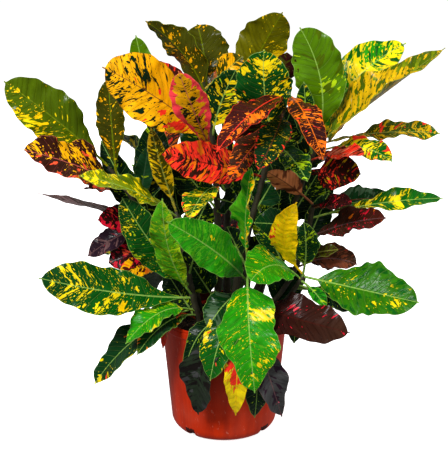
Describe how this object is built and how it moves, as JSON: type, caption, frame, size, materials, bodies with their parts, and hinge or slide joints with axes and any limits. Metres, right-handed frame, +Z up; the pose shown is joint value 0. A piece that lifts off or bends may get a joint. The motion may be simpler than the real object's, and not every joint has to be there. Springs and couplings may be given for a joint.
{
  "type": "potted croton",
  "caption": "Bushy croton plant with broad waved variegated leaves on upright stems, standing in soil in a round tapered plastic nursery pot.",
  "frame": {"origin": "the middle of the pot's underside, on the pot's axis, in the plane that it rests on", "axes": "+Z up along the pot's axis, -Y towards the side that the plant shows best, +X to the right of it"},
  "size_m": [0.5146, 0.3659, 0.5195],
  "materials": {
    "pot_plastic": "satin moulded plastic, red-orange",
    "potting_soil": "rough dark potting mix",
    "leaves_yellow_green": "glossy leaf, green flecked and blotched with yellow",
    "leaves_orange_red": "glossy leaf, orange and red with dark green flecks",
    "leaves_dark": "glossy leaf, dark green to maroon with flecks"
  },
  "bodies": {
    "root": {"pot": "pot_plastic", "soil": "potting_soil", "stem_left_low": "leaves_yellow_green", "stem_front": "leaves_yellow_green", "stem_right_low": "leaves_yellow_green", "stem_right": "leaves_dark", "stem_upper_right": "leaves_yellow_green", "stem_apex": "leaves_orange_red", "stem_upper_left": "leaves_orange_red", "stem_left": "leaves_dark", "stem_back_left": "leaves_dark", "stem_back_right": "leaves_dark", "stem_back": "leaves_dark"}
  },
  "joints": []
}
